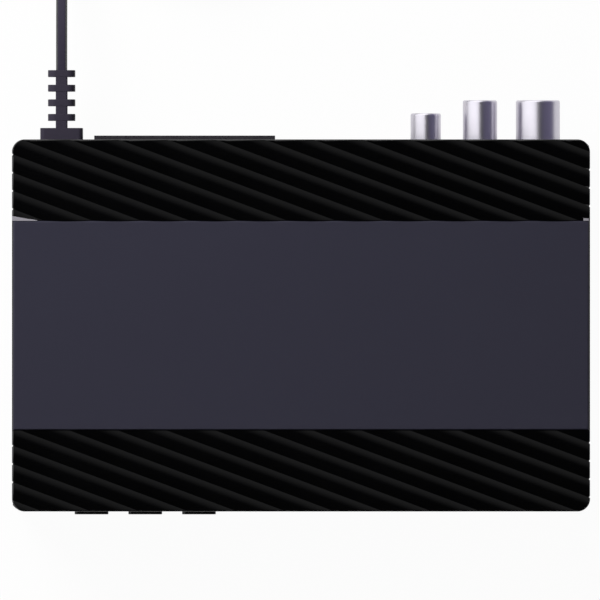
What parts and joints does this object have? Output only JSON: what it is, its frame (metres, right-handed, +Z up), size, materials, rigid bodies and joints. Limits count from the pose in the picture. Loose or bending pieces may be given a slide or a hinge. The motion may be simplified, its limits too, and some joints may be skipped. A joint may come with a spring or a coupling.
{
  "type": "digital television receiver",
  "caption": "Low black set-top television receiver: slanted glossy ribs frame a slate top panel, keys at the front, aerial, audio and SCART sockets behind, and a fixed flat mains lead.",
  "frame": {"origin": "on the floor, midway across the case and midway between the keys' faces and the ends of the aerial connectors", "axes": "+X to the right seen from the front, +Y from the front to the rear, +Z up"},
  "size_m": [0.1718, 0.2193, 0.036],
  "materials": {
    "gloss_black": "polished",
    "case_black": "fine-grained",
    "slate": "satin",
    "pale_grey": "satin",
    "smoked_window": "polished",
    "foot_rubber": "matt",
    "screw_steel": "zinc-plated",
    "cream": "moulded",
    "chip_black": "moulded",
    "board_green": "lacquered",
    "display_grey": "moulded",
    "lamp_red": "clear",
    "heatsink_aluminium": "anodised",
    "nickel": "nickel-plated",
    "brass": "bright",
    "orange": "moulded",
    "socket_black": "moulded",
    "white": "moulded",
    "lead_insulation": "smooth",
    "fuse_glass": "clear",
    "copper": "enamelled wire",
    "capacitor_sleeve": "shrink sleeve",
    "ferrite": "sintered",
    "bobbin_yellow": "taped",
    "relief_grey": "moulded",
    "cord_black": "satin"
  },
  "bodies": {
    "case": {"bottom_case": "case_black", "top_cover": "gloss_black", "top_panel": "slate", "panel_backing": "pale_grey", "front_panel": "case_black", "display_window": "smoked_window", "rear_panel": "case_black", "rubber_feet": "foot_rubber", "case_screws": "screw_steel", "board_screws": "screw_steel", "switch_housings": "chip_black", "front_board": "board_green", "front_header": "chip_black", "led_display": "display_grey", "infrared_receiver": "chip_black", "standby_light": "lamp_red", "main_board": "board_green", "processor": "chip_black", "heatsink": "heatsink_aluminium", "memory_chips": "chip_black", "crystal_can": "nickel", "tuner_can": "nickel", "antenna_in_shell": "nickel", "antenna_in_insulator": "cream", "antenna_in_contact": "brass", "antenna_out_shell": "nickel", "antenna_out_insulator": "cream", "antenna_out_pin": "brass", "audio_socket_body": "chip_black", "audio_socket_shell": "nickel", "audio_socket_contact": "orange", "hdmi_shell": "nickel", "hdmi_tongue": "chip_black", "scart_housing": "socket_black", "scart_contacts": "nickel", "usb_shell": "nickel", "usb_tongue": "white", "mains_terminal": "cream", "mains_leads": "lead_insulation", "mains_fuse": "fuse_glass", "fuse_clips": "brass", "line_choke": "copper", "mains_capacitor": "capacitor_sleeve", "transformer_core": "ferrite", "transformer_bobbin": "bobbin_yellow", "output_capacitors": "capacitor_sleeve", "strain_relief": "relief_grey", "mains_cord": "cord_black", "cord_coil": "cord_black", "cord_tail": "cord_black", "cord_tie": "cord_black", "mains_plug": "cord_black", "plug_pins": "nickel"},
    "power_key": {"key_power": "gloss_black", "plunger_power": "cream"},
    "channel_down_key": {"key_channel_down": "gloss_black", "plunger_channel_down": "cream"},
    "channel_up_key": {"key_channel_up": "gloss_black", "plunger_channel_up": "cream"}
  },
  "joints": [
    {"name": "power_press", "type": "slide", "parent": "case", "child": "power_key", "axis": [0, 1, 0], "range_m": [0, 0.0005], "stiffness_N_per_m": 800},
    {"name": "channel_down_press", "type": "slide", "parent": "case", "child": "channel_down_key", "axis": [0, 1, 0], "range_m": [0, 0.0005], "stiffness_N_per_m": 800},
    {"name": "channel_up_press", "type": "slide", "parent": "case", "child": "channel_up_key", "axis": [0, 1, 0], "range_m": [0, 0.0005], "stiffness_N_per_m": 800}
  ]
}
